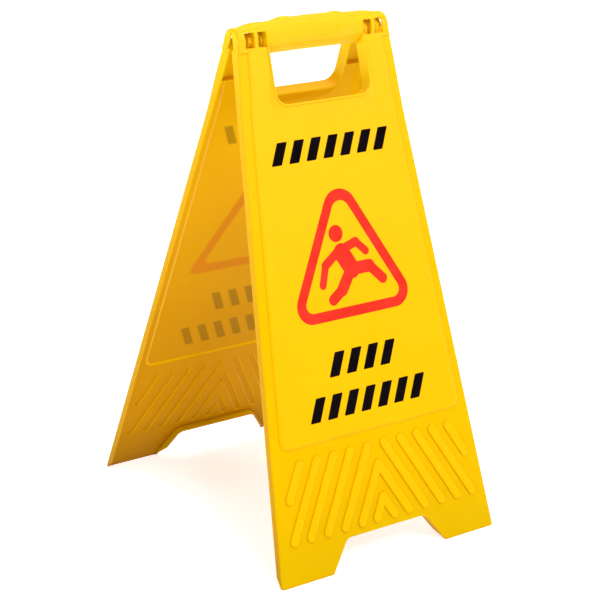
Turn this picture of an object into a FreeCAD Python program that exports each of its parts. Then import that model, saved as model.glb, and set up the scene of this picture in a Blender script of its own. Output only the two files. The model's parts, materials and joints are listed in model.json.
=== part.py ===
import FreeCAD, Part
import math
import os
from FreeCAD import Vector

# Folding A-frame floor sign in millimetres: two identical moulded panels that snap together at the top,
# each with half of a barrel handle, and the ink printed on their faces.
# X runs across the sign, Y from front to back, Z up. The origin is on the floor under the sign's middle.
#
# A panel is drawn in its own flat frame: u across, v down the panel from the hinge axis, and w outwards
# from the plane in which the two panels meet when they are folded flat. It is then leaned to LEAN.

LEAN = 17.82                 # each panel's lean from upright when the sign stands open, degrees
HINGE_HEIGHT = 560.0         # hinge axis above the floor
HEAD_HALF = 101.7            # half width at the hinge axis
FOOT_HALF = 150.2            # half width at the feet, before their corners are rounded
FOOT_V = 591.2               # hinge axis to the bottom edge, down the panel
FACE_W = 9.7                 # outer face, from the folding plane
WALL = 2.2                   # moulded wall
FOLD_GAP = 0.25              # each panel's clearance to the folding plane
CREST_GAP = 0.15             # each half's clearance to the seam along the top, when open
EDGE_ROUND = 2.0             # rounding of the face's long outer edges
FOOT_ROUND = 4.0             # the feet's outer corners, seen from the front
FOOT_TRIM = 0.7              # the corners' rounding runs this far past the floor
SHOULDER_RISE = 3.3          # the face swells out towards the heads by this much
SHOULDER_TOP = 12.0          # and does so between these two distances below the hinge axis
SHOULDER_LOW = 108.0
SHOULDER_STEP = 12.0         # spacing of the sections that draw the swelling
SKIRT_W = 14.6               # the heads run straight down to a small step
SKIRT_LOW = 13.0
SKIRT_ROUND = 2.2
POST_WEB = (49.0, 51.2)      # a cross web behind each post, down the panel
POST_WEB_W = (4.5, 11.4)

LABEL_RISE = 1.5             # the label field stands this far out of the face
LABEL_MARGIN = 10.5          # panel edge to the foot of the label's slope
LABEL_SLOPE = 4.5            # width of that slope
LABEL_BOTTOM = 445.2
LABEL_CORNER = 12.5

RIB_SECTION = ((5.6, -0.3), (5.2, 0.8), (4.5, 1.6), (3.4, 1.9))      # half width and height over the face
RIB_HOLLOW = ((5.0, -0.6), (4.4, 0.6), (3.6, 1.4), (2.6, 1.7))       # and of the hollow behind it
RIB_TOP = 462.0
RIB_LOW = 543.4
RIB_SLOPE = 0.55             # sideways run per length down
RIB_STARTS = (104.0, 81.0, 58.5, 35.4, 11.6)
RIB_OUTERMOST_END = 497.6
PEAK_TOP = 483.7
SMALL_PEAK_TOP = 521.5
SMALL_PEAK_HALF = 12.0

NOTCH_TOP = 556.2
NOTCH_HALF_TOP = 55.0
NOTCH_HALF_LOW = 79.5
NOTCH_CORNER = 11.0
NOTCH_ROUND = 1.4            # rounding of the face's edge round the notch

OPENING_HALF = 63.5
OPENING_LOW = 73.1
OPENING_CORNER = 14.5
COLLAR_RISE = 3.6            # swelling round the opening, above the label field
COLLAR_SIDE = 9.5
COLLAR_BELOW = 21.0
COLLAR_CORNER = 24.0
COLLAR_FLAT = 3.0            # width of its level top
COLLAR_ROOT = 0.4            # how deep its foot is sunk in the label
COLLAR_ROUND = 1.6
LIP_RISE = 1.2               # bead round the opening, above the collar
LIP_ROUND = 0.9
LIP_TOP = 6.0                # the collar and the bead end here, under the heads

# The barrel's section, in the open pose, at distances from the middle: half depth, half height and
# the height of its centre over the hinge axis. A shallow thumb hollow crosses it beside the middle.
BARREL = ((-HEAD_HALF, 15.9, 16.5, 0.8), (-86.0, 16.0, 17.0, 1.3), (-66.0, 16.2, 17.8, 2.3),
          (-44.0, 16.7, 18.2, 2.9), (-22.0, 16.9, 18.6, 3.4), (-13.0, 16.7, 18.7, 3.5),
          (-6.0, 16.3, 18.8, 3.6), (0.0, 16.5, 18.8, 3.6), (5.0, 17.0, 18.8, 3.6), (11.0, 17.1, 18.7, 3.5),
          (22.0, 16.9, 18.7, 3.5), (44.0, 16.7, 18.4, 3.2), (66.0, 16.2, 17.8, 2.3), (86.0, 16.0, 17.0, 1.3),
          (HEAD_HALF, 15.9, 16.5, 0.8))

END_ROUND = 2.0              # rounding of the barrel's two ends
HEAD_REACH = 60.0            # larger than a head, either way from the hinge axis

SHAFT_R = 3.5
BOSS_R = 9.2                 # the shaft is thicker either side of the claws
BOSSES = ((66.3, 68.7), (72.9, 84.9), (89.1, 95.4))
CLAW_BORE_R = 3.58
CLAW_R = 6.6
CLAW_THICK = 3.2
CLAW_MOUTH = 50.0            # half angle of the claw's mouth
SHAFT_WEB = 2.4
SHAFT_END = 96.6
SHAFT_WEBS = (78.6, 95.4)
WINDOWS = ((65.2, 76.4), (80.6, 93.4))   # across, on both heads
WINDOW_LOW = -4.0
WINDOW_HIGH = 12.6
WINDOW_DEPTHS = (-30.0, -13.0, -5.0)     # outside the head, to the bottom of the cut, and to its top
WINDOW_BEND = 2.0                        # the cut's back leans in above this height
WINDOW_ROUND = 1.2
STEP_OUT = 6.2               # the flanges' ends are off the floor up to this far from the folding plane
STEP_IN = -6.0
STEP_LOW = 3.0               # by this much there, and by STEP_HIGH at their inner edges
STEP_HIGH = 26.0
WEDGE_APEX = 15.0            # daylight wedge between the end cheeks
WEDGE_HALF = 6.0
WEDGE_LOW = -6.0
SOCKET_R = 3.9               # pocket in the inner wall for the other panel's shaft end

INK = 0.12
STRIPE_SLANT = 0.45
STRIPE_FILL = 0.58           # a bar's share of the pitch
STRIPE_CORNER = 1.0
STRIPE_ROWS = {"upper_print": (7, 81.0, 112.7, 137.3), "middle_print": (4, 48.0, 349.7, 376.2),
               "lower_print": (7, 82.0, 395.2, 421.7)}   # bars, half span, top and bottom
RING_APEX = 146.7
RING_LOW = 315.1
RING_HALF_BASE = 89.9
RING_CORNERS = (23.0, 20.0, 20.0)
RING_BAND = 11.7
PRINT_W = FACE_W + LABEL_RISE
COLLAR_W = FACE_W + LABEL_RISE + COLLAR_RISE
FIGURE_HEAD = ((-11.0, 221.0), 9.5)
FIGURE_LIMBS = (
    ((-7.0, 243.0), (4.0, 263.0), 10.5),      # trunk
    ((-10.0, 240.0), (-31.0, 254.0), 5.2),    # trailing upper arm
    ((-31.0, 254.0), (-38.0, 275.0), 4.6),    # trailing forearm
    ((-4.0, 239.0), (14.0, 234.0), 5.2),      # raised upper arm
    ((14.0, 234.0), (26.0, 246.0), 4.6),      # raised forearm
    ((1.0, 265.0), (-13.0, 284.0), 7.2),      # standing thigh
    ((-13.0, 284.0), (-27.0, 293.0), 6.2),    # standing shin
    ((7.0, 263.0), (28.0, 263.0), 7.2),       # flung thigh
    ((28.0, 263.0), (44.0, 280.0), 6.0),      # flung shin
)

FAR = 900.0                  # further than any part of the sign
PAST = 20.0                  # outlines that are cut off at the floor run on this far
OVER = 1.0                   # cuts run this far past what they cut
SEAM_LOW = 3.0               # the upright seam between the two halves starts here, over the hinge axis


def half_width(v):
    return HEAD_HALF + (FOOT_HALF - HEAD_HALF) * v / FOOT_V


def place(u, v, w):
    """A point of the panel's flat frame, before it leans."""
    return Vector(u, -w, -v)


def rounded(corners, radii, w):
    """A closed outline through (u, v) corners, each rounded by its own radius, at height w."""
    edges = []
    ends = []
    count = len(corners)
    for i in range(count):
        at = Vector(corners[i][0], corners[i][1], 0)
        back = (Vector(*corners[i - 1], 0) - at).normalize()
        ahead = (Vector(*corners[(i + 1) % count], 0) - at).normalize()
        if radii[i] <= 0:
            ends.append((at, at, at))
            continue
        half = back.getAngle(ahead) / 2
        reach = radii[i] / math.tan(half)
        middle = (back + ahead).normalize()
        centre = at + middle * (radii[i] / math.sin(half))
        ends.append((at + back * reach, centre - middle * radii[i], at + ahead * reach))
    for i in range(count):
        first, mid, last = [place(p.x, p.y, w) for p in ends[i]]
        following = ends[(i + 1) % count][0]
        if radii[i] > 0:
            edges.append(Part.Arc(first, mid, last).toShape())
        edges.append(Part.LineSegment(last, place(following.x, following.y, w)).toShape())
    return Part.Wire(edges)


def capsule(start, end, radius, w):
    """A round-ended bar's outline between two (u, v) points."""
    a = Vector(start[0], start[1], 0)
    b = Vector(end[0], end[1], 0)
    along = (b - a).normalize()
    side = Vector(-along.y, along.x, 0)
    points = [a + side * radius, a - along * radius, a - side * radius,
              b - side * radius, b + along * radius, b + side * radius]
    p = [place(q.x, q.y, w) for q in points]
    return Part.Wire([Part.Arc(p[0], p[1], p[2]).toShape(), Part.LineSegment(p[2], p[3]).toShape(),
                      Part.Arc(p[3], p[4], p[5]).toShape(), Part.LineSegment(p[5], p[0]).toShape()])


def shrink(corners, distance):
    """The polygon of corners with every side moved inwards by distance."""
    count = len(corners)
    area = sum(corners[i - 1][0] * corners[i][1] - corners[i][0] * corners[i - 1][1] for i in range(count))
    turn = 1 if area > 0 else -1
    moved = []
    for i in range(count):
        lines = []
        for a, b in ((corners[i - 1], corners[i]), (corners[i], corners[(i + 1) % count])):
            length = math.hypot(b[0] - a[0], b[1] - a[1])
            normal = (-turn * (b[1] - a[1]) / length, turn * (b[0] - a[0]) / length)
            lines.append((normal, normal[0] * a[0] + normal[1] * a[1] + distance))
        (n1, d1), (n2, d2) = lines
        cross = n1[0] * n2[1] - n1[1] * n2[0]
        moved.append(((d1 * n2[1] - d2 * n1[1]) / cross, (n1[0] * d2 - n2[0] * d1) / cross))
    return moved


def prism(wire, rise):
    return Part.Face(wire).extrude(Vector(0, -rise, 0))


def face_corners(margin=0.0, top=0.0, low=FOOT_V):
    """The panel's outline, or one inside it by margin."""
    slant = math.cos(math.atan((FOOT_HALF - HEAD_HALF) / FOOT_V))
    step = margin / slant
    return [(-half_width(top) + step, top), (half_width(top) - step, top),
            (half_width(low) - step, low), (-half_width(low) + step, low)]


def opening_corners(grow=0.0, below=None):
    low = OPENING_LOW + (grow if below is None else below)
    half = OPENING_HALF + grow
    return [(-half, -HEAD_REACH), (half, -HEAD_REACH), (half, low), (-half, low)]


def notch_corners(grow=0.0):
    """The gap between the feet, carried on below them."""
    spread = (NOTCH_HALF_LOW - NOTCH_HALF_TOP) / (FOOT_V - NOTCH_TOP)
    low = FOOT_V + PAST
    half_low = NOTCH_HALF_TOP + spread * (low - NOTCH_TOP)
    corners = [(-NOTCH_HALF_TOP, NOTCH_TOP), (NOTCH_HALF_TOP, NOTCH_TOP), (half_low, low), (-half_low, low)]
    return shrink(corners, -grow)


def rib_lines():
    """Centre lines of the embossed bars below the label, as pairs of (u, v) points."""
    lines = []
    for i, start in enumerate(RIB_STARTS):
        low = RIB_OUTERMOST_END if i == 0 else RIB_LOW
        reach = start + RIB_SLOPE * (low - RIB_TOP)
        for side in (-1, 1):
            lines.append(((side * start, RIB_TOP), (side * reach, low)))
    for side in (-1, 1):
        lines.append(((0.0, PEAK_TOP), (side * RIB_SLOPE * (RIB_LOW - PEAK_TOP), RIB_LOW)))
        lines.append(((0.0, SMALL_PEAK_TOP), (side * SMALL_PEAK_HALF, RIB_LOW)))
    return lines


def rib(line, section, base):
    """A round-ended bar along line, drawn through the section's (half width, height over base) steps."""
    return Part.makeLoft([capsule(line[0], line[1], half, base + rise) for half, rise in section], True, True)


def lean(shape):
    """Carries a shape from the panel's flat frame to the open pose, the hinge axis staying on X."""
    leaned = shape.copy()
    leaned.rotate(Vector(0, 0, 0), Vector(1, 0, 0), -LEAN)
    return leaned


def slab(points, x0, x1):
    """A prism along X between x0 and x1 with the (y, z) outline points, in the open pose."""
    wire = Part.makePolygon([Vector(x0, y, z) for y, z in points + [points[0]]])
    return Part.Face(wire).extrude(Vector(x1 - x0, 0, 0))


def disc(radius, x0, x1):
    return Part.makeCylinder(radius, x1 - x0, Vector(x0, 0, 0), Vector(1, 0, 0))


def barrel(offset, x_end):
    """The barrel's round body, less offset all round, from -x_end to x_end."""
    sections = []
    for x, depth, height, centre in BARREL:
        high = height - offset
        wide = depth - offset
        along = x * x_end / HEAD_HALF
        if high >= wide:
            oval = Part.Ellipse(Vector(along, 0, centre + high), Vector(along, wide, centre),
                                Vector(along, 0, centre))
        else:
            oval = Part.Ellipse(Vector(along, wide, centre), Vector(along, 0, centre + high),
                                Vector(along, 0, centre))
        sections.append(Part.Wire([oval.toShape()]))
    return Part.makeLoft(sections, True, False)


def front_region():
    """Everything on the front panel's side of the seam and of the folding plane."""
    sin = math.sin(math.radians(LEAN))
    cos = math.cos(math.radians(LEAN))
    near = (-FOLD_GAP / cos, 0.0)
    foot = (near[0] - FAR * sin, -FAR * cos)
    return slab([(-CREST_GAP, HEAD_REACH), (-CREST_GAP, SEAM_LOW), near, foot, (-FAR, -FAR * cos),
                 (-FAR, HEAD_REACH)], -FOOT_HALF - PAST, FOOT_HALF + PAST)


def soften(solid, edges, radius):
    """Rounds edges, or leaves them sharp where the rounding can't be made."""
    try:
        rounded_solid = solid.makeFillet(radius, edges)
    except Exception:
        return solid
    return rounded_solid if rounded_solid.isValid() else solid


def at_height(shape, w, slack=1e-4):
    """The edges of a flat-frame shape that lie wholly at height w."""
    return [e for e in shape.Edges if abs(e.BoundBox.YMin + w) < slack and abs(e.BoundBox.YMax + w) < slack]


def swelling(v):
    """How far the face stands out of its flat plane at v: two equal arcs, tangent to each other."""
    half = (SHOULDER_LOW - SHOULDER_TOP) / 2
    radius = (half * half + SHOULDER_RISE * SHOULDER_RISE / 4) / SHOULDER_RISE
    if v < SHOULDER_TOP + half:
        run = max(v - SHOULDER_TOP, 0.0)
        return SHOULDER_RISE - radius + math.sqrt(radius * radius - run * run)
    run = max(SHOULDER_LOW - v, 0.0)
    return radius - math.sqrt(radius * radius - run * run)


def shoulder_stations():
    count = round((SHOULDER_LOW - SHOULDER_TOP) / SHOULDER_STEP)
    return [SHOULDER_TOP + SHOULDER_STEP * i for i in range(count + 1)]


def sheet(depth):
    """Everything from below the folding plane up to depth under the swelling face."""
    base = FACE_W - depth
    length = SHOULDER_LOW - SHOULDER_TOP
    bend = [place(-FAR, v, base + swelling(v)) for v in [SHOULDER_TOP + length * i / 4 for i in range(5)]]
    upper = Part.Arc(bend[0], bend[1], bend[2]).toShape()
    lower = Part.Arc(bend[2], bend[3], bend[4]).toShape()
    corners = [bend[4], place(-FAR, FAR, base), place(-FAR, FAR, -FACE_W), place(-FAR, -FACE_W, -FACE_W),
               place(-FAR, -FACE_W, base + SHOULDER_RISE), bend[0]]
    sides = [Part.LineSegment(p, q).toShape() for p, q in zip(corners, corners[1:])]
    return Part.Face(Part.Wire([upper, lower] + sides)).extrude(Vector(2 * FAR, 0, 0))


def label_body(depth):
    """The raised label field, less depth all round, following the swelling at the top."""
    base = FACE_W - depth
    top = base + LABEL_RISE
    margin = LABEL_MARGIN + depth
    corners = face_corners(margin, SHOULDER_LOW, LABEL_BOTTOM - depth)
    low = rounded(corners, [0, 0, LABEL_CORNER, LABEL_CORNER], base)
    level = shrink(face_corners(margin, 0.0, LABEL_BOTTOM - depth), LABEL_SLOPE)
    share = (SHOULDER_LOW - level[0][1]) / (level[2][1] - level[0][1])
    half = level[1][0] + (level[2][0] - level[1][0]) * share
    high_corners = [(-half, SHOULDER_LOW), (half, SHOULDER_LOW), level[2], level[3]]
    high = rounded(high_corners, [0, 0, LABEL_CORNER - LABEL_SLOPE, LABEL_CORNER - LABEL_SLOPE], top)
    field = Part.makeLoft([low, high], True, True)
    root = prism(rounded(corners, [0, 0, LABEL_CORNER, LABEL_CORNER], base - LABEL_RISE), LABEL_RISE)
    foot_half = corners[1][0]
    sections = []
    for v in [0.0] + shoulder_stations():
        shift = (half_width(SHOULDER_LOW) - half_width(v))
        outer = foot_half - shift
        inner = half - shift
        rise = swelling(v)
        outline = [(-outer, base - LABEL_RISE), (-outer, base + rise), (-inner, top + rise),
                   (inner, top + rise), (outer, base + rise), (outer, base - LABEL_RISE)]
        spots = [place(u, v, w) for u, w in outline]
        sections.append(Part.makePolygon(spots + [spots[0]]))
    return [field, root, Part.makeLoft(sections, True, True)]


def collar_body(depth):
    """The swelling round the opening, less depth all round."""
    low = FACE_W + LABEL_RISE - depth - COLLAR_ROOT
    grow = COLLAR_SIDE - depth / 3
    below = COLLAR_BELOW - depth / 3
    flat_corner = OPENING_CORNER + COLLAR_FLAT
    return Part.makeLoft(
        [rounded(opening_corners(grow, below), [0, 0, COLLAR_CORNER, COLLAR_CORNER], low),
         rounded(opening_corners(COLLAR_FLAT), [0, 0, flat_corner, flat_corner], COLLAR_W - depth)],
        True, True)


def post_web(side):
    """A cross web behind one post."""
    top, low = POST_WEB
    inner = OPENING_HALF + WALL / 2
    corners = [(side * inner, top), (side * (half_width(top) - WALL / 2), top),
               (side * (half_width(low) - WALL / 2), low), (side * inner, low)]
    return prism(rounded(corners, [0] * 4, POST_WEB_W[0]), POST_WEB_W[1] - POST_WEB_W[0])


def make_skin():
    """The panel's face with its embossing, hollow behind, and the flanges round its holes, leaned."""
    plate = prism(rounded(face_corners(low=FOOT_V + FACE_W), [0] * 4, FOLD_GAP), 2 * FACE_W)
    plate = plate.common(sheet(0.0))
    long_edges = [e for e in plate.Edges if e.BoundBox.ZLength > 60 and e.BoundBox.YMin < -FOLD_GAP - 1]
    plate = soften(plate, long_edges, EDGE_ROUND)
    outline = rounded(face_corners(low=FOOT_V + FOOT_TRIM), [0, 0, FOOT_ROUND, FOOT_ROUND], 0)
    plate = plate.common(prism(outline, 2 * FACE_W))
    aside = Part.makeBox(2 * FAR, FAR, FAR, place(-FAR, LIP_TOP, FAR / 2))
    collar = collar_body(0.0)
    collar = soften(collar, at_height(collar, COLLAR_W), COLLAR_ROUND).cut(aside)
    skirt_corners = face_corners(0.0, 0.0, SKIRT_LOW)
    skirt = prism(rounded(skirt_corners, [0] * 4, FOLD_GAP), SKIRT_W - FOLD_GAP)
    skirt = soften(skirt, [e for e in at_height(skirt, SKIRT_W) if e.BoundBox.ZMin < -1], SKIRT_ROUND)
    ribs = []
    hollows = []
    for line in rib_lines():
        ribs.append(rib(line, RIB_SECTION, FACE_W))
        hollows.append(rib(line, RIB_HOLLOW, FACE_W - WALL))
    outer = plate.fuse(label_body(0.0) + [collar, skirt] + ribs)

    inside = face_corners(WALL, -WALL, FOOT_V + FACE_W)
    hollow = prism(rounded(inside, [0] * 4, -FACE_W), 3 * FACE_W).common(sheet(WALL))
    inner = hollow.fuse(label_body(WALL) + [collar_body(WALL).cut(aside)] + hollows)

    corner = [0, 0, OPENING_CORNER + WALL, OPENING_CORNER + WALL]
    lip_top = COLLAR_W + LIP_RISE
    lip_wall = prism(rounded(opening_corners(WALL), corner, FOLD_GAP), lip_top - FOLD_GAP)
    lip = lip_wall.cut(aside)
    flange_corner = [NOTCH_CORNER + WALL, NOTCH_CORNER + WALL, 0, 0]
    notch_rim = prism(rounded(notch_corners(WALL), flange_corner, FOLD_GAP), FACE_W - FOLD_GAP)
    inner = inner.cut([lip_wall, notch_rim, post_web(-1), post_web(1)])
    skin = outer.fuse(lip).cut(inner)
    hole = prism(rounded(opening_corners(), [0, 0, OPENING_CORNER, OPENING_CORNER], -FACE_W), 4 * FACE_W)
    notch = prism(rounded(notch_corners(), [NOTCH_CORNER, NOTCH_CORNER, 0, 0], -FACE_W), 4 * FACE_W)
    skin = skin.cut([hole, notch])
    bead = [e for e in at_height(skin, lip_top) if e.Length > 5]
    skin = soften(skin, bead, LIP_ROUND)
    notch_edge = [e for e in at_height(skin, FACE_W)
                  if e.BoundBox.ZMax < -NOTCH_TOP + 1
                  and abs(e.BoundBox.Center.x) < FOOT_HALF - 2 * NOTCH_ROUND
                  and e.BoundBox.ZLength + e.BoundBox.XLength > 2 * NOTCH_ROUND]
    skin = soften(skin, notch_edge, NOTCH_ROUND)
    return lean(skin), lean(inner)


def make_panel():
    """The front panel in the open pose, its hinge axis on X."""
    skin, face_hollow = make_skin()
    region = front_region()
    outer = barrel(0.0, HEAD_HALF)
    outer = soften(outer, [e for e in outer.Edges if e.BoundBox.XLength < 0.01], END_ROUND)
    cavity = barrel(WALL, HEAD_HALF)
    head_box = [(-HEAD_REACH, -HEAD_REACH), (HEAD_REACH, -HEAD_REACH),
                (HEAD_REACH, HEAD_REACH), (-HEAD_REACH, HEAD_REACH)]
    grip = cavity.common(slab(head_box, -OPENING_HALF, OPENING_HALF))
    heads = [cavity.common(slab(head_box, *sorted((s * (OPENING_HALF + WALL), s * (HEAD_HALF - WALL)))))
             for s in (-1, 1)]
    panel = skin.fuse(outer.common(region))
    panel = panel.cut([face_hollow, grip] + heads)

    shaft = disc(SHAFT_R, -SHAFT_END, -OPENING_HALF - WALL / 2)
    extras = [shaft] + [disc(BOSS_R, -high, -low) for low, high in BOSSES]
    web_space = barrel(WALL / 2, HEAD_HALF).common(region)
    for x in SHAFT_WEBS:
        extras.append(web_space.common(slab(head_box, -x - SHAFT_WEB / 2, -x + SHAFT_WEB / 2)))
    mouth_reach = 2 * CLAW_R
    a = math.radians(CLAW_MOUTH)
    lip_y = mouth_reach * math.cos(a)
    lip_z = mouth_reach * math.sin(a)
    for low, high in WINDOWS:
        middle = (low + high) / 2
        x0 = middle - CLAW_THICK / 2
        x1 = middle + CLAW_THICK / 2
        claw = disc(CLAW_R, x0, x1).fuse(web_space.common(slab(head_box, x0, x1)))
        claw = claw.cut(disc(CLAW_BORE_R, x0 - OVER, x1 + OVER))
        mouth = slab([(0, 0), (lip_y, lip_z), (mouth_reach / math.cos(a), 0), (lip_y, -lip_z)],
                     x0 - OVER, x1 + OVER)
        extras.append(claw.cut(lean(mouth)))
    panel = panel.fuse(extras)

    cuts = [disc(SOCKET_R, OPENING_HALF - OVER, OPENING_HALF + WALL + OVER)]
    for side in (-1, 1):
        for low, high in WINDOWS:
            x0, x1 = sorted((side * low, side * high))
            outside, deep, top = WINDOW_DEPTHS
            window = slab([(outside, WINDOW_LOW), (deep, WINDOW_LOW), (deep, WINDOW_BEND), (top, WINDOW_HIGH),
                           (outside, WINDOW_HIGH)], x0, x1)
            cuts.append(soften(window, [e for e in window.Edges if e.BoundBox.YLength > deep - outside - 1],
                               WINDOW_ROUND))
        x0, x1 = sorted((side * (HEAD_HALF - WALL - OVER), side * (HEAD_HALF + OVER)))
        wedge = [(OVER, WEDGE_APEX), (0.0, WEDGE_APEX), (-WEDGE_HALF, WEDGE_LOW), (OVER, WEDGE_LOW)]
        cuts.append(slab(wedge, x0, x1))
    cuts.append(Part.makeBox(2 * FAR, 2 * FAR, FAR, Vector(-FAR, -FAR, -HINGE_HEIGHT - FAR)))
    cuts.append(lean(step_above_feet()))
    return panel.cut(cuts).removeSplitter()


def step_above_feet():
    """Frees the inner half of the flanges from the floor, so that the sign stands on the face's edge."""
    below = FOOT_V + PAST
    points = [(STEP_OUT, below), (STEP_OUT, FOOT_V - STEP_LOW),
              (STEP_IN, FOOT_V - STEP_HIGH), (STEP_IN, below)]
    wire = Part.makePolygon([place(-FAR, v, w) for w, v in points + [points[0]]])
    return Part.Face(wire).extrude(Vector(2 * FAR, 0, 0))


def ink(wire):
    return prism(wire, INK)


def stripes(count, half_span, top, low):
    """A row of slanted bars that reaches half_span either side of the middle."""
    lean_over = STRIPE_SLANT * (low - top)
    pitch = (2 * half_span - lean_over) / (count - 1 + STRIPE_FILL)
    bar = STRIPE_FILL * pitch
    solids = []
    for i in range(count):
        left = -half_span + i * pitch
        corners = [(left + lean_over, top), (left + bar + lean_over, top), (left + bar, low), (left, low)]
        solids.append(ink(rounded(corners, [STRIPE_CORNER] * 4, PRINT_W)))
    return Part.makeCompound(solids)


def ring():
    corners = [(0.0, RING_APEX), (RING_HALF_BASE, RING_LOW), (-RING_HALF_BASE, RING_LOW)]
    outside = ink(rounded(corners, RING_CORNERS, PRINT_W))
    inner_corners = [radius - RING_BAND + OVER for radius in RING_CORNERS]
    hole = prism(rounded(shrink(corners, RING_BAND), inner_corners, PRINT_W - OVER), 2 * OVER + INK)
    return outside.cut(hole)


def figure():
    """A plain stick person losing balance, wholly inside the ring."""
    centre, radius = FIGURE_HEAD
    head = Part.makeCylinder(radius, INK, place(centre[0], centre[1], PRINT_W), Vector(0, -1, 0))
    limbs = [ink(capsule(start, end, r, PRINT_W)) for start, end, r in FIGURE_LIMBS]
    trunk = limbs[0].fuse(limbs[1:]).removeSplitter()
    return Part.makeCompound([head] + trunk.Solids)


def main():
    os.makedirs("parts", exist_ok=True)
    prints = {name: stripes(*row) for name, row in STRIPE_ROWS.items()}
    prints["ring_print"] = ring()
    prints["figure_print"] = figure()
    nodes = {"panel": make_panel()}
    for name, shape in prints.items():
        nodes[name] = lean(shape)
    for name, shape in nodes.items():
        for side, turn in (("front", 0), ("back", 180)):
            piece = shape.copy()
            piece.translate(Vector(0, 0, HINGE_HEIGHT))
            piece.rotate(Vector(0, 0, 0), Vector(0, 0, 1), turn)
            piece.exportStep("parts/%s_%s.step" % (side, name))
            box = piece.BoundBox
            print("%s_%s" % (side, name), len(piece.Solids), "solids, valid", piece.isValid(),
                  "volume %.0f" % piece.Volume, "z %.2f to %.2f" % (box.ZMin, box.ZMax),
                  "y %.1f to %.1f" % (box.YMin, box.YMax))


main()
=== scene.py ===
import json
import math

import bpy
from mathutils import Matrix, Vector

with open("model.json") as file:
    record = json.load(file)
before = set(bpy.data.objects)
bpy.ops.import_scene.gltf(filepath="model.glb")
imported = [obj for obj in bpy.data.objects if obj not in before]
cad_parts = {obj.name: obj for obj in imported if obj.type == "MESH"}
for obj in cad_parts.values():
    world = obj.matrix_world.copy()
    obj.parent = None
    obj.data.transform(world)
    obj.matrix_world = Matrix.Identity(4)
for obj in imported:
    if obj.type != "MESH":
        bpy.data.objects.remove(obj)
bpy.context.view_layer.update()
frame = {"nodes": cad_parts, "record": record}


# ---------------------------------------------------------------- the panels, in metres

LEAN = math.radians(17.82)               # each panel's lean from upright
TALL = 0.6                               # the colour ramps run from the floor to this height
HINGE_Z = 0.560
HEADS_LOW = 0.545                        # the heads begin above this height
FACE_W = 0.0097                          # the ground's height over the folding plane
SLOPE_FOOT = (0.00016, 0.0006)           # over the ground: the foot of every embossed slope
SLOPE = (0.0003, 0.0013)                 # and the slope itself
HOLLOW_SLOPE = (0.0077, 0.0088)          # the hollows' slopes behind the face, over the folding plane
SHOULDER = (0.012, 0.060, 0.108)         # where the swelling under the heads starts, turns and ends
SHOULDER_RADIUS = 0.699

# The prints' places on a panel, down from the hinge: number of bars, half span, top and bottom of each row.
STRIPE_ROWS = ((7, 0.081, 0.1127, 0.1373), (4, 0.048, 0.3497, 0.3762), (7, 0.082, 0.3952, 0.4217))
STRIPE_SLANT = 0.45
STRIPE_FILL = 0.58
STRIPE_SOFT = 0.06                       # blur of the bars' sides seen through the wall, in pitches
ROW_SOFT = 0.0012                        # and of their ends
RING_APEX = 0.1467
RING_LOW = 0.3151
RING_HALF = 0.0899
RING_BAND = 0.0117
RING_ROUND = 0.02
RING_SOFT = 0.0014

# Linear colours of the mouldings by height above the floor, with light and shade painted in: all grow darker
# towards the floor as painted shade; the raised label and ribs are painted lighter than the ground round
# them; where the walls face each other the colour is a deeper painted shade, turning to painted light up in
# the heads.
RAISED = ((0.0, (0.74, 0.405, 0.0)), (0.15, (0.79, 0.425, 0.002)), (0.30, (0.86, 0.440, 0.004)),
          (0.55, (0.91, 0.475, 0.014)))
GROUND = ((0.0, (0.58, 0.362, 0.0)), (0.05, (0.62, 0.378, 0.0)), (0.13, (0.73, 0.408, 0.0)),
          (0.30, (0.79, 0.42, 0.001)), (0.55, (0.88, 0.465, 0.008)))
INSIDE_LIGHT_AND_SHADE = ((0.0, (0.40, 0.175, 0.0)), (0.06, (0.57, 0.27, 0.0)), (0.20, (0.645, 0.325, 0.0)),
          (0.35, (0.77, 0.445, 0.0)), (0.50, (0.87, 0.57, 0.0)), (0.56, (1.0, 0.72, 0.0)))
# Painted shade for the tight inner corners.
CREASE_SHADE = (0.88, 0.72, 0.5, 1)
# Painted shade along the foot of the embossed slopes.
SLOPE_SHADE = (0.84, 0.70, 0.5, 1)
# Painted glow on the hollows' slopes, seen from behind.
HOLLOW_GLOW = (0.95, 0.60, 0.0, 1)
# The prints' painted shadow, seen through the wall from behind.
BLACK_SHADOW_BEHIND = (0.16, 0.085, 0.004, 1)
RED_SHADOW_BEHIND = (0.66, 0.16, 0.008, 1)


# ---------------------------------------------------------------- shader nodes

def new_material(name):
    material = bpy.data.materials.new(name)
    material.use_nodes = True
    tree = material.node_tree
    return material, tree, tree.nodes["Principled BSDF"]


def node(tree, kind, **settings):
    made = tree.nodes.new(kind)
    for key, value in settings.items():
        setattr(made, key, value)
    return made


def put(tree, socket, value):
    """Links value to the socket where it is an output, and sets it there otherwise."""
    if isinstance(value, bpy.types.NodeSocket):
        tree.links.new(value, socket)
    else:
        socket.default_value = value


def calc(tree, operation, *values):
    made = node(tree, "ShaderNodeMath", operation=operation)
    for socket, value in zip(made.inputs, values):
        put(tree, socket, value)
    return made.outputs[0]


def mix(tree, share, low, high, blend="MIX"):
    """low where share is 0, high where it is 1, or low times high with blend MULTIPLY."""
    made = node(tree, "ShaderNodeMix", data_type="RGBA", blend_type=blend)
    put(tree, made.inputs["Factor"], share)
    put(tree, made.inputs[6], low)
    put(tree, made.inputs[7], high)
    return made.outputs[2]


def map_range(tree, value, low, high, to_low=0.0, to_high=1.0, kind="LINEAR"):
    """value carried from low to high onto to_low to to_high, and held at both ends."""
    made = node(tree, "ShaderNodeMapRange", interpolation_type=kind)
    for name, number in (("From Min", low), ("From Max", high), ("To Min", to_low), ("To Max", to_high)):
        made.inputs[name].default_value = number
    tree.links.new(value, made.inputs["Value"])
    return made.outputs["Result"]


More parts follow.
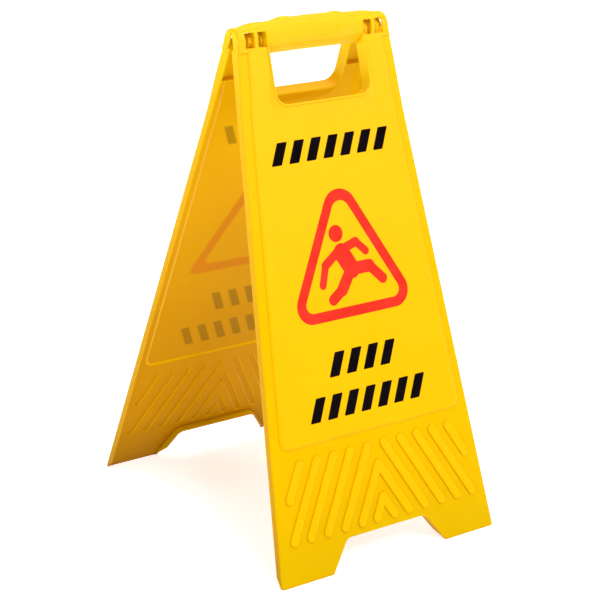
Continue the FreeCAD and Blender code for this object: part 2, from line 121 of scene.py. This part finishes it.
def noise(tree, place, scale, detail):
    made = node(tree, "ShaderNodeTexNoise")
    made.inputs["Scale"].default_value = scale
    made.inputs["Detail"].default_value = detail
    tree.links.new(place.outputs["Object"], made.inputs["Vector"])
    return made.outputs["Fac"]


def ramp(tree, share, stops):
    """A colour ramp over share, from (position, colour) stops."""
    made = node(tree, "ShaderNodeValToRGB")
    tree.links.new(share, made.inputs["Fac"])
    elements = made.color_ramp.elements
    while len(elements) < len(stops):
        elements.new(1.0)
    for element, (position, colour) in zip(elements, stops):
        element.position = position
    for element, (position, colour) in zip(elements, stops):
        element.color = (*colour, 1)
    return made.outputs["Color"]


def height_ramp(tree, height, stops):
    return ramp(tree, height, [(above / TALL, colour) for above, colour in stops])


def band(tree, value, low, high, soft):
    """1 where value lies between low and high, fading over soft either side of each."""
    rise = map_range(tree, value, low - soft, low + soft, kind="SMOOTHSTEP")
    fall = map_range(tree, value, high - soft, high + soft, 1.0, 0.0, "SMOOTHSTEP")
    return calc(tree, "MULTIPLY", rise, fall)


# ---------------------------------------------------------------- yellow plastic

def crease_shade(tree, height, colour):
    """Painted shade: deepens the colour in the tight inner corners that ambient occlusion finds, but not in
    the heads, which light reaches from all sides."""
    near = node(tree, "ShaderNodeAmbientOcclusion", samples=6)
    near.inputs["Distance"].default_value = 0.0035
    clear = map_range(tree, near.outputs["AO"], 0.55, 0.95)
    heads = map_range(tree, height, HEADS_LOW / TALL, HINGE_Z / TALL)
    deep = mix(tree, 1.0, colour, CREASE_SHADE, "MULTIPLY")
    return mix(tree, calc(tree, "MAXIMUM", clear, heads), deep, colour)


def swelling(tree, down):
    """How far the face stands out of its plane under the heads: two tangent arcs, taken as parabolas."""
    start, turn, end = SHOULDER
    half = end - turn
    below = calc(tree, "MINIMUM", calc(tree, "MAXIMUM", calc(tree, "SUBTRACT", end, down), 0.0), half)
    above = calc(tree, "MINIMUM", calc(tree, "MAXIMUM", calc(tree, "SUBTRACT", down, start), 0.0), half)
    total = calc(tree, "SUBTRACT", calc(tree, "MULTIPLY", below, below), calc(tree, "MULTIPLY", above, above))
    return calc(tree, "DIVIDE", calc(tree, "ADD", total, half * half), 2 * SHOULDER_RADIUS)


def panel_place(tree, spot):
    """How far down its panel a point lies from the hinge, and how far out of the folding plane."""
    over_hinge = calc(tree, "SUBTRACT", spot.outputs["Z"], HINGE_Z)
    out = calc(tree, "ABSOLUTE", spot.outputs["Y"])
    down = calc(tree, "SUBTRACT", calc(tree, "MULTIPLY", out, math.sin(LEAN)),
                calc(tree, "MULTIPLY", over_hinge, math.cos(LEAN)))
    level = calc(tree, "ADD", calc(tree, "MULTIPLY", out, math.cos(LEAN)),
                 calc(tree, "MULTIPLY", over_hinge, math.sin(LEAN)))
    return down, calc(tree, "SUBTRACT", level, swelling(tree, down))


def shade_at_slopes(tree, level, colour):
    """Painted shade: a slightly deeper line along the foot of every embossed slope."""
    line = band(tree, level, FACE_W + SLOPE_FOOT[0], FACE_W + SLOPE_FOOT[1], 0.0001)
    return mix(tree, calc(tree, "MULTIPLY", line, 0.6), colour, SLOPE_SHADE, "MULTIPLY")


def light_at_hollows(tree, level, facing, colour):
    """Painted glow: the thinner slopes of the embossing are painted a brighter orange, seen from behind; the
    flanges' sides are not.
    """
    slopes = band(tree, level, *HOLLOW_SLOPE, 0.0001)
    share = map_range(tree, calc(tree, "ABSOLUTE", facing.outputs["X"]), 0.90, 0.97, 0.5, 0.0)
    return mix(tree, calc(tree, "MULTIPLY", slopes, share), colour, HOLLOW_GLOW)


def bars_behind(tree, across, down):
    """1 on the black bars, blurred as through the wall."""
    dark = None
    for count, half_span, top, low in STRIPE_ROWS:
        slant = STRIPE_SLANT * (low - top)
        pitch = (2 * half_span - slant) / (count - 1 + STRIPE_FILL)
        # the bars lean: their left edge moves left going down
        lean_over = calc(tree, "MULTIPLY", calc(tree, "SUBTRACT", down, low), STRIPE_SLANT)
        along = calc(tree, "ADD", across, lean_over)
        place = calc(tree, "DIVIDE", calc(tree, "ADD", along, half_span), pitch)
        inset = STRIPE_SOFT * 2 / 3
        bar = band(tree, calc(tree, "FRACT", place), inset, STRIPE_FILL - inset, STRIPE_SOFT)
        row = calc(tree, "MULTIPLY", band(tree, down, top, low, ROW_SOFT),
                   band(tree, place, 0.0, count - 1 + STRIPE_FILL, STRIPE_SOFT))
        bar = calc(tree, "MULTIPLY", bar, row)
        dark = bar if dark is None else calc(tree, "MAXIMUM", dark, bar)
    return dark


def ring_behind(tree, across, down):
    """1 on the red ring, from the distance inwards of the triangle's two slanting sides and its base."""
    slope = RING_HALF / (RING_LOW - RING_APEX)
    half_here = calc(tree, "MULTIPLY", calc(tree, "SUBTRACT", down, RING_APEX), slope)
    flank = calc(tree, "SUBTRACT", half_here, calc(tree, "ABSOLUTE", across))
    flank = calc(tree, "DIVIDE", flank, math.hypot(1.0, slope))
    base = calc(tree, "SUBTRACT", RING_LOW, down)
    return band(tree, calc(tree, "SMOOTH_MIN", flank, base, RING_ROUND), 0.0, RING_BAND, RING_SOFT)


def show_through(tree, spot, down, colour):
    """The prints' painted shadow: the prints seen faintly from behind, as shade painted where they block the
    light through the thin wall.
    """
    # across, as seen from the panel's own front: the back panel is turned half round
    turned = calc(tree, "MULTIPLY", calc(tree, "SIGN", spot.outputs["Y"]), -1.0)
    across = calc(tree, "MULTIPLY", spot.outputs["X"], turned)
    shaded = mix(tree, calc(tree, "MULTIPLY", bars_behind(tree, across, down), 0.5), colour, BLACK_SHADOW_BEHIND)
    return mix(tree, calc(tree, "MULTIPLY", ring_behind(tree, across, down), 0.55), shaded, RED_SHADOW_BEHIND)


def lit_share(tree, spot, facing):
    """The share of the lit outer colour: 1 on the outer faces and the top, 0 on the inner ones, which take
    the painted shade, and part of the way on the flanges' sides.
    """
    outward = calc(tree, "MULTIPLY", calc(tree, "SIGN", spot.outputs["Y"]), facing.outputs["Y"])
    upward = calc(tree, "MULTIPLY", facing.outputs["Z"], 0.8)
    sideways = calc(tree, "MULTIPLY", calc(tree, "SIGN", spot.outputs["X"]), facing.outputs["X"])
    sideways = calc(tree, "MULTIPLY", calc(tree, "MAXIMUM", sideways, 0.0), 0.36)
    total = calc(tree, "ADD", calc(tree, "MAXIMUM", outward, 0.0), calc(tree, "MAXIMUM", upward, 0.0))
    total = calc(tree, "ADD", total, sideways)
    return map_range(tree, total, 0.15, 0.75, kind="SMOOTHSTEP")


def yellow_plastic():
    """Moulded polypropylene: clear yellow outside, with faint flow mottling and a fine satin grain; light and
    shade are painted in: darker towards the floor, lighter on the raised label and ribs, a deeper painted
    shade where the thin walls face each other, painted shade in the creases and at the foot of slopes, a
    painted glow on the hollows' slopes and the prints' painted shadow seen from behind."""
    material, tree, bsdf = new_material("moulded_yellow")
    link = tree.links.new
    place = node(tree, "ShaderNodeTexCoord")
    spot = node(tree, "ShaderNodeSeparateXYZ")
    link(place.outputs["Object"], spot.inputs[0])
    facing = node(tree, "ShaderNodeSeparateXYZ")
    link(place.outputs["Normal"], facing.inputs[0])
    height = calc(tree, "DIVIDE", spot.outputs["Z"], TALL)
    down, level = panel_place(tree, spot)

    # painted light and shade: the raised label and ribs lighter than the ground, and both darker towards the
    # floor
    raised = map_range(tree, level, FACE_W + SLOPE[0], FACE_W + SLOPE[1], kind="SMOOTHSTEP")
    outer = mix(tree, raised, height_ramp(tree, height, GROUND), height_ramp(tree, height, RAISED))
    outer = shade_at_slopes(tree, level, outer)
    # painted shade where the walls face each other, painted light up in the heads, and the prints' painted
    # shadow
    inner = light_at_hollows(tree, level, facing, height_ramp(tree, height, INSIDE_LIGHT_AND_SHADE))
    inner = show_through(tree, spot, down, inner)
    even = crease_shade(tree, height, mix(tree, lit_share(tree, spot, facing), inner, outer))

    cloud = noise(tree, place, 9.0, 3.0)
    mottle = map_range(tree, cloud, 0.3, 0.7, 0.96, 1.0)
    link(mix(tree, 1.0, even, mottle, "MULTIPLY"), bsdf.inputs["Base Color"])
    link(map_range(tree, cloud, 0.0, 1.0, 0.26, 0.36), bsdf.inputs["Roughness"])
    bump = node(tree, "ShaderNodeBump")
    bump.inputs["Strength"].default_value = 0.05
    bump.inputs["Distance"].default_value = 0.0002
    link(noise(tree, place, 1400.0, 2.0), bump.inputs["Height"])
    link(bump.outputs["Normal"], bsdf.inputs["Normal"])
    bsdf.inputs["IOR"].default_value = 1.49
    bsdf.inputs["Specular IOR Level"].default_value = 0.07
    bsdf.inputs["Specular Tint"].default_value = (1.0, 0.80, 0.12, 1)
    bsdf.inputs["Subsurface Weight"].default_value = 0.5
    bsdf.inputs["Subsurface Radius"].default_value = (1.0, 0.5, 0.08)
    bsdf.inputs["Subsurface Scale"].default_value = 0.003
    return material


# ---------------------------------------------------------------- ink and floor

def ink(name, dark, light, roughness):
    """Screen-printed ink: nearly even, with the slight unevenness of a pulled print."""
    material, tree, bsdf = new_material(name)
    cloud = noise(tree, node(tree, "ShaderNodeTexCoord"), 60.0, 4.0)
    tree.links.new(ramp(tree, cloud, ((0.35, dark), (0.65, light))), bsdf.inputs["Base Color"])
    gloss = map_range(tree, cloud, 0.0, 1.0, roughness - 0.05, roughness + 0.08)
    tree.links.new(gloss, bsdf.inputs["Roughness"])
    bsdf.inputs["IOR"].default_value = 1.48
    bsdf.inputs["Specular IOR Level"].default_value = 0.02
    return material


def floor_material():
    material, tree, bsdf = new_material("pale_floor")
    bsdf.inputs["Base Color"].default_value = (0.72, 0.72, 0.72, 1)
    bsdf.inputs["Roughness"].default_value = 0.9
    bsdf.inputs["Emission Color"].default_value = (1, 1, 1, 1)
    bsdf.inputs["Emission Strength"].default_value = 0.58
    bsdf.inputs["Specular IOR Level"].default_value = 0.0
    return material


def dress(piece, material):
    piece.data.materials.clear()
    piece.data.materials.append(material)


# ---------------------------------------------------------------- stage

def make_floor():
    mesh = bpy.data.meshes.new("floor")
    reach = 60.0
    mesh.from_pydata([(-reach, -reach, 0), (reach, -reach, 0), (reach, reach, 0), (-reach, reach, 0)], [],
                     [(0, 1, 2, 3)])
    floor = bpy.data.objects.new("floor", mesh)
    bpy.context.scene.collection.objects.link(floor)
    dress(floor, floor_material())


def toward(azimuth, elevation):
    """The direction to a place seen from the sign; azimuth 0 is the front (-Y), 90 is +X, in degrees."""
    a = math.radians(azimuth)
    e = math.radians(elevation)
    return Vector((math.sin(a) * math.cos(e), -math.cos(a) * math.cos(e), math.sin(e)))


def make_camera():
    """Seen from the front left, a little above the handle's height."""
    data = bpy.data.cameras.new("camera")
    data.lens = 115.5
    data.sensor_width = 36.0
    camera = bpy.data.objects.new("camera", data)
    bpy.context.scene.collection.objects.link(camera)
    aim = Vector((0, 0, 0.2485))
    back = toward(-36.01, 19.855)
    roll = Matrix.Rotation(math.radians(1.67), 4, "Z")
    turn = (-back).to_track_quat("-Z", "Y").to_matrix().to_4x4() @ roll
    camera.matrix_world = Matrix.Translation(aim + back * 2.228) @ turn
    bpy.context.scene.camera = camera


def make_sun(name, azimuth, elevation, strength, spread):
    """A soft far light."""
    data = bpy.data.lights.new(name, "SUN")
    data.energy = strength
    data.angle = math.radians(spread)
    sun = bpy.data.objects.new(name, data)
    bpy.context.scene.collection.objects.link(sun)
    sun.rotation_mode = "QUATERNION"
    sun.rotation_quaternion = toward(azimuth, elevation).to_track_quat("Z", "Y")
    sun.location = toward(azimuth, elevation) * 3


def make_lights():
    world = bpy.data.worlds.new("studio")
    bpy.context.scene.world = world
    world.use_nodes = True
    world.node_tree.nodes["Background"].inputs["Color"].default_value = (1, 1, 1, 1)
    world.node_tree.nodes["Background"].inputs["Strength"].default_value = 0.34
    make_sun("key", 10, 58, 2.6, 35)
    make_sun("fill", -70, 45, 0.5, 80)
    make_sun("top", 150, 72, 1.6, 60)
    bpy.context.scene.view_settings.view_transform = "Standard"


# ---------------------------------------------------------------- the sign

FINISH = {
    "yellow_plastic": yellow_plastic(),
    "black_ink": ink("black_print", (0.002, 0.001, 0.002), (0.005, 0.003, 0.004), 0.4),
    "red_ink": ink("red_print", (0.60, 0.024, 0.012), (0.68, 0.032, 0.019), 0.35),
}

for entry in frame["record"]["subparts"]:
    dress(frame["nodes"][entry["node"]], FINISH[entry["material_slot"]])

make_floor()
make_camera()
make_lights()
